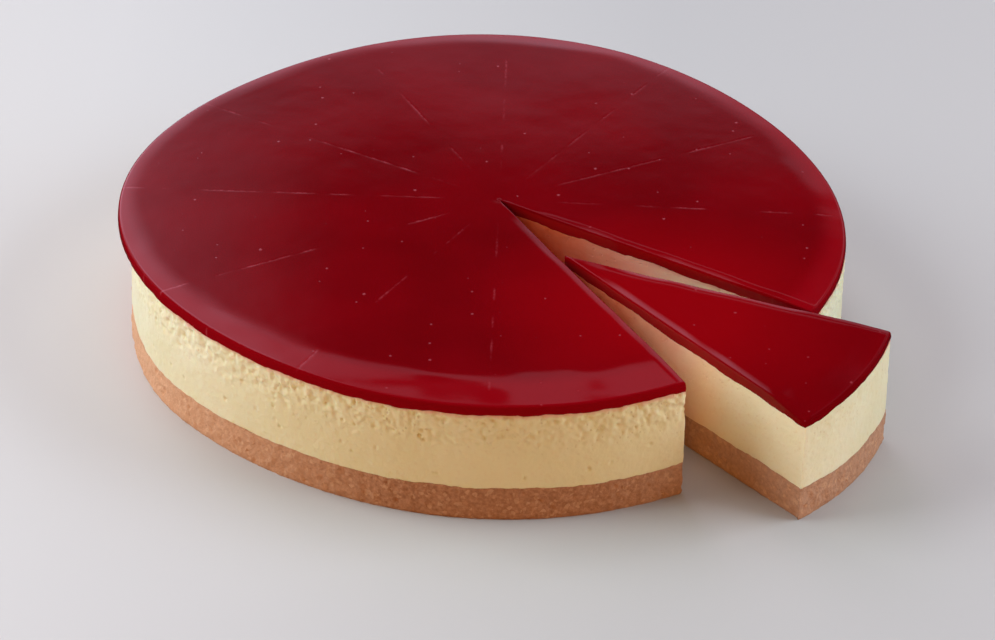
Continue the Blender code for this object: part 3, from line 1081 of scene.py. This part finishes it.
# The room's pale areas, which the jelly mirrors: a band behind the cake, a lower one behind its left
# part, a narrow one for the slope in front, and one at each side. Heights are angles above the
# horizon in degrees, and places are shares of the direction across or behind. Each pair gives where
# an area begins and where it is whole, or at its far side where it is whole and where it ends
BAND_STRENGTH = 0.36
BAND_TOP = (28.0, 30.2)
LOW_STRENGTH = 0.75
LOW_TOP = (22.0, 27.5)
LOW_START = (0.13, 0.03)
FRONT_STRENGTH = 0.46
FRONT_FOOT = (34.6, 36.6)
FRONT_TOP = (38.9, 39.6)
LEFT_STRENGTH = 2.1
LEFT_START = (-0.06, -0.22)
LEFT_END = (-0.40, -0.60)
RIGHT_STRENGTH = 0.24
RIGHT_START = (0.09, 0.16)
RIGHT_END = (0.30, 0.45)
SIDE_TOP = (56.0, 70.0)
HORIZON = (9.0, 18.0)
BEHIND = (0.2, 0.6)
ROOM_STRENGTH = 0.012
SHEEN_TINT = (1.0, 0.78, 1.0)


def ramp_node(tree, source, low, high):
    """A soft step of a value, from 0 at low to 1 at high."""
    node = tree.nodes.new("ShaderNodeMapRange")
    node.interpolation_type = "SMOOTHSTEP"
    tree.links.new(source, node.inputs["Value"])
    node.inputs["From Min"].default_value = low
    node.inputs["From Max"].default_value = high
    return node.outputs["Result"]


def combine_node(tree, operation, *values):
    """One arithmetic step on two or three values or numbers."""
    node = tree.nodes.new("ShaderNodeMath")
    node.operation = operation
    for socket, value in zip(node.inputs, values):
        if isinstance(value, bpy.types.NodeSocket):
            tree.links.new(value, socket)
        else:
            socket.default_value = value
    return node.outputs[0]


def add_world():
    """A dim room whose pale areas show as a sheen on the jelly's back, left, right and front."""
    world = bpy.data.worlds.new("studio")
    world.use_nodes = True
    tree = world.node_tree
    direction = tree.nodes.new("ShaderNodeTexCoord")
    parts = tree.nodes.new("ShaderNodeSeparateXYZ")
    tree.links.new(direction.outputs["Generated"], parts.inputs[0])
    across, behind, upward = parts.outputs

    def above(low, high):
        return ramp_node(tree, upward, math.sin(math.radians(low)), math.sin(math.radians(high)))

    def below(low, high):
        return above(high, low)

    def past(start, whole):
        return ramp_node(tree, across, start, whole)

    def before(whole, end):
        return ramp_node(tree, across, end, whole)

    def area(strength, *ramps):
        product = strength
        for ramp in ramps:
            product = combine_node(tree, "MULTIPLY", product, ramp)
        return product

    areas = (
        area(BAND_STRENGTH, below(*BAND_TOP)),
        area(LOW_STRENGTH, below(*LOW_TOP), past(*LOW_START)),
        area(FRONT_STRENGTH, above(*FRONT_FOOT), below(*FRONT_TOP)),
        area(LEFT_STRENGTH, past(*LEFT_START), before(*LEFT_END), below(*SIDE_TOP)),
        area(RIGHT_STRENGTH, past(*RIGHT_START), before(*RIGHT_END), below(*SIDE_TOP)),
    )
    sheen = areas[0]
    for other in areas[1:]:
        sheen = combine_node(tree, "ADD", sheen, other)
    at_back = combine_node(tree, "MULTIPLY", ramp_node(tree, behind, *BEHIND), above(*HORIZON))
    strength = combine_node(tree, "MULTIPLY_ADD", sheen, at_back, ROOM_STRENGTH)
    background = tree.nodes["Background"]
    tree.links.new(strength, background.inputs["Strength"])
    background.inputs["Color"].default_value = (*SHEEN_TINT, 1.0)
    bpy.context.scene.world = world


# Camera: place, aim and field of view from the rim, seams, foot and cuts in the photograph
CAMERA_PLACE = (40.6 * MM, -1149.8 * MM, 719.4 * MM)
CAMERA_PITCH = math.radians(32.09)
CAMERA_YAW = math.radians(-1.771)
CAMERA_ROLL = math.radians(1.743)
CAMERA_LENS_MM = 144.4
CAMERA_SENSOR_MM = 36.0


def add_camera():
    """The camera at the photograph's place, turned by its yaw, pitch and roll."""
    forward = Vector((
        math.sin(CAMERA_YAW) * math.cos(CAMERA_PITCH),
        math.cos(CAMERA_YAW) * math.cos(CAMERA_PITCH),
        -math.sin(CAMERA_PITCH),
    ))
    level = Vector((math.cos(CAMERA_YAW), -math.sin(CAMERA_YAW), 0.0))
    upright = level.cross(forward)
    right = math.cos(CAMERA_ROLL) * level + math.sin(CAMERA_ROLL) * upright
    up = -math.sin(CAMERA_ROLL) * level + math.cos(CAMERA_ROLL) * upright
    data = bpy.data.cameras.new("camera")
    data.sensor_width = CAMERA_SENSOR_MM
    data.lens = CAMERA_LENS_MM
    camera = bpy.data.objects.new("camera", data)
    turn = Matrix((right, up, -forward)).transposed().to_4x4()
    camera.matrix_world = Matrix.Translation(CAMERA_PLACE) @ turn
    bpy.context.scene.collection.objects.link(camera)
    bpy.context.scene.camera = camera


def main():
    bpy.context.scene.view_settings.view_transform = "Standard"
    draws = Random(PIT_SEED)
    jelly = jelly_material()
    filling = filling_material()
    biscuit = biscuit_material()
    cake = Piece(
        "cake", CAKE_APEX, (0.0, 0.0), cake_outline, FAR_CUT, NEAR_CUT + 360.0, SCORE_LINES,
        undercut=UNDERCUT_DEPTH, shoulder=(JELLY_SHOULDER, JELLY_SHOULDER), lean=0.0, seed=CAKE_SEED,
    )
    portion = Piece(
        "slice", SLICE_TIP, SLICE_CENTRE, slice_outline, SLICE_NEAR_CUT, SLICE_FAR_CUT, (),
        undercut=0.0, shoulder=SLICE_SHOULDER, lean=SLICE_LEAN, seed=SLICE_SEED,
    )
    for piece in (cake, portion):
        make_jelly(piece, jelly)
        make_filling_and_biscuit(piece, filling, biscuit, draws)
    add_floor()
    add_world()
    for light in LIGHTS:
        add_light(*light)
    add_camera()


main()
